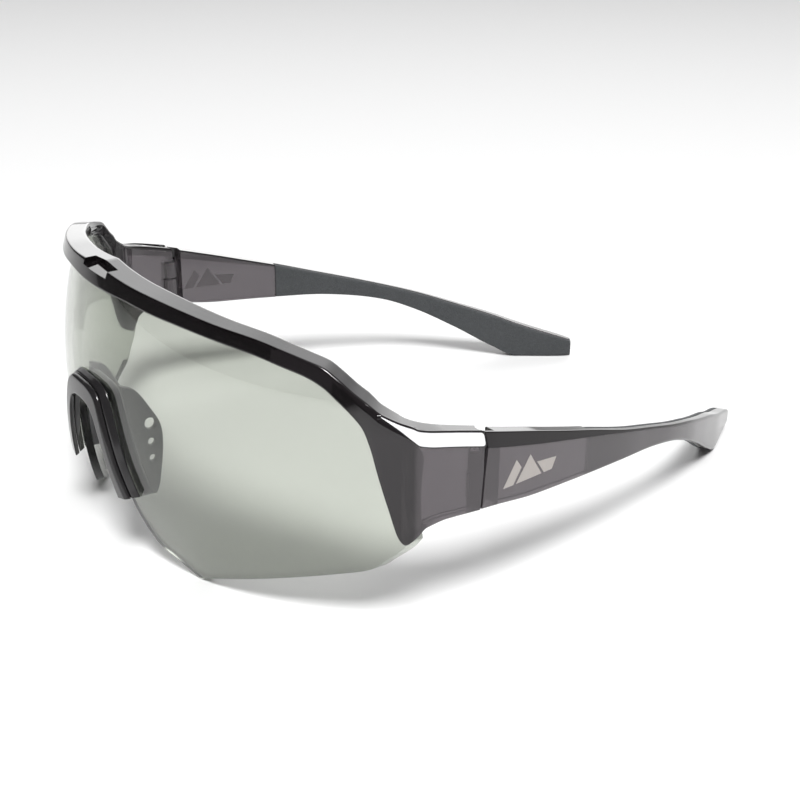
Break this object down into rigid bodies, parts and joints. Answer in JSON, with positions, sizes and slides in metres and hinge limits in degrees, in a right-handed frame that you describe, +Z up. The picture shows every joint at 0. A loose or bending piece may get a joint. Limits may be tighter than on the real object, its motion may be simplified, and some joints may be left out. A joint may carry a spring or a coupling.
{
  "type": "wraparound shield sunglasses",
  "caption": "Half-rim wraparound glasses: a one-piece shield lens hangs from a brow bar, with a nose piece and two folding arms with rubber grips.",
  "frame": {"origin": "middle of the footprint of the open glasses, on the surface they stand on", "axes": "+Z up, the front of the glasses faces -Y, the arms run back along +Y, the wearer's left is +X"},
  "size_m": [0.146, 0.1649, 0.0632],
  "materials": {
    "smoke_plastic": "gloss translucent",
    "lens": "smooth tinted",
    "bright_trim": "bright",
    "bezel_plastic": "gloss",
    "nose_rubber": "satin translucent",
    "grip_rubber": "matte fine texture",
    "steel": "turned"
  },
  "bodies": {
    "front": {"frame_front": "smoke_plastic", "lens_shield": "lens", "nose_bezel": "bezel_plastic", "nose_bezel_base": "bezel_plastic", "nose_carrier": "nose_rubber", "nose_wing_left": "nose_rubber", "nose_wing_right": "nose_rubber", "trim_left": "bright_trim", "trim_right": "bright_trim", "hinge_screw_left": "steel", "hinge_screw_right": "steel", "hinge_sleeve_left": "steel", "hinge_sleeve_right": "steel"},
    "left_arm": {"arm_left": "smoke_plastic", "grip_left": "grip_rubber"},
    "right_arm": {"arm_right": "smoke_plastic", "grip_right": "grip_rubber"}
  },
  "joints": [
    {"name": "left_arm_fold", "type": "hinge", "parent": "front", "child": "left_arm", "pos_m": [0.0696, -0.03076, 0.033], "axis": [0, 0, 1], "range_deg": [0, 85]},
    {"name": "right_arm_fold", "type": "hinge", "parent": "front", "child": "right_arm", "pos_m": [-0.0696, -0.03076, 0.033], "axis": [0, 0, -1], "range_deg": [0, 66]}
  ]
}
